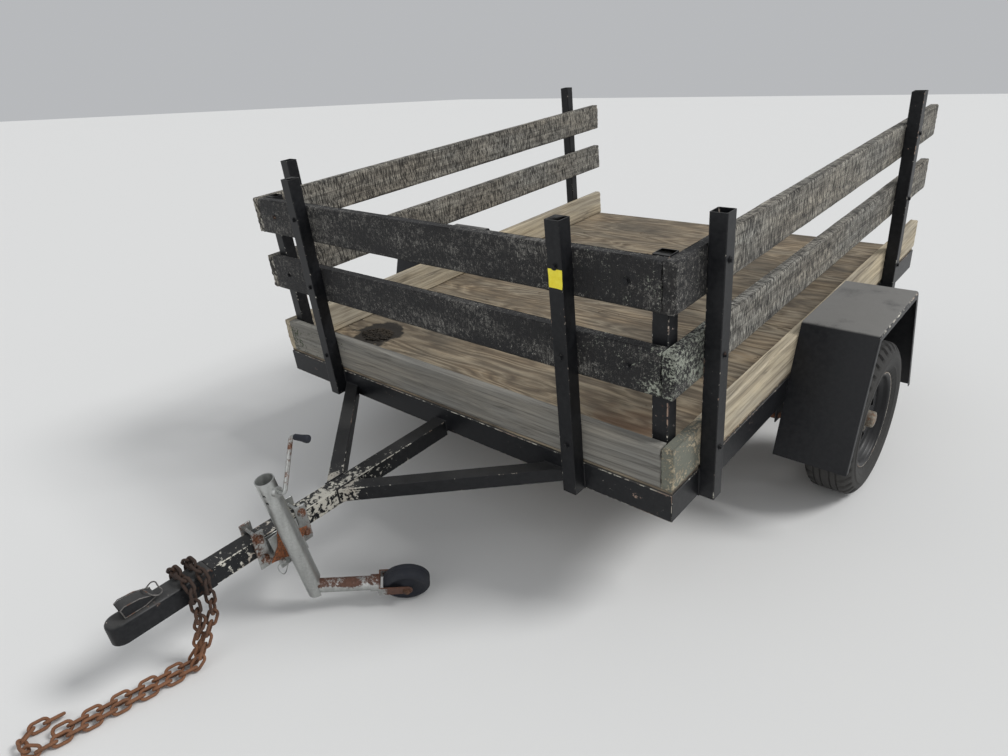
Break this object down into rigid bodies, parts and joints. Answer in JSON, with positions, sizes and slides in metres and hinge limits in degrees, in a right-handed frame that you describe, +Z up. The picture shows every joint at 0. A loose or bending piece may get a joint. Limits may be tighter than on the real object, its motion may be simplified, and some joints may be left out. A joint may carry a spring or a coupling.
{
  "type": "utility trailer",
  "caption": "Single-axle flatbed utility trailer with slatted board sides, open rear, folded plate fenders, A-frame drawbar, ball coupler, safety chains and a bent swivel jack.",
  "frame": {"origin": "middle of the footprint, on the ground below the trailer", "axes": "+Y to the rear, +X to the right seen from the drawbar's end, +Z up; the trailer leans nose-down as parked"},
  "size_m": [2.462, 3.91, 1.5124],
  "materials": {
    "black_paint": "satin, chipped",
    "deck_plywood": "weathered",
    "painted_board": "peeling paint",
    "bare_board": "weathered",
    "tyre_rubber": "dusty",
    "wheel_paint": "satin",
    "rusty_steel": "rusty",
    "rusty_zinc": "galvanized, rusty",
    "zinc_steel": "galvanized",
    "jockey_plastic": "matt"
  },
  "bodies": {
    "trailer": {"axle_beam": "rusty_steel", "board_front_low": "bare_board", "board_front_middle": "painted_board", "board_front_top": "painted_board", "board_left_low": "bare_board", "board_left_middle": "bare_board", "board_left_top": "bare_board", "board_right_low": "bare_board", "board_right_middle": "bare_board", "board_right_top": "bare_board", "brace_left": "black_paint", "brace_right": "black_paint", "chain_front": "rusty_steel", "chain_rear": "rusty_steel", "corner_post_left": "black_paint", "corner_post_right": "black_paint", "coupler_body": "black_paint", "coupler_latch": "black_paint", "cross_members": "black_paint", "deck_front_sheet": "deck_plywood", "deck_rear_sheet": "deck_plywood", "drawbar": "black_paint", "fender_left": "black_paint", "fender_right": "black_paint", "frame_front_rail": "black_paint", "frame_left_rail": "black_paint", "frame_rear_rail": "black_paint", "frame_right_rail": "black_paint", "jack_mount": "rusty_zinc", "post_front_left": "black_paint", "post_front_right": "black_paint", "post_left_aft": "black_paint", "post_left_fore": "black_paint", "post_right_aft": "black_paint", "post_right_fore": "black_paint", "spring_hangers": "rusty_steel", "spring_left": "rusty_steel", "spring_right": "rusty_steel"},
    "road_wheel_right": {"tyre_right": "tyre_rubber", "wheel_right": "wheel_paint"},
    "road_wheel_left": {"tyre_left": "tyre_rubber", "wheel_left": "wheel_paint"},
    "jack": {"jack_outer_tube": "zinc_steel", "jack_leg": "zinc_steel", "jack_crank": "zinc_steel"},
    "jack_foot": {"jockey_wheel": "jockey_plastic"}
  },
  "joints": [
    {"name": "road_wheel_right_turn", "type": "hinge", "parent": "trailer", "child": "road_wheel_right", "pos_m": [1.1295, 0.68639, 0.3075], "axis": [1, 0, 0], "continuous": true},
    {"name": "road_wheel_left_turn", "type": "hinge", "parent": "trailer", "child": "road_wheel_left", "pos_m": [-1.1295, 0.68639, 0.3075], "axis": [1, 0, 0], "continuous": true},
    {"name": "jack_swivel", "type": "hinge", "parent": "trailer", "child": "jack", "pos_m": [0.05, -1.18424, 0.25592], "axis": [1, 0, 0], "range_deg": [0, 90]},
    {"name": "jack_foot_turn", "type": "hinge", "parent": "jack", "child": "jack_foot", "pos_m": [0.293, -0.9293, 0.07518], "axis": [0.6867, -0.6236, -0.3735], "continuous": true}
  ]
}
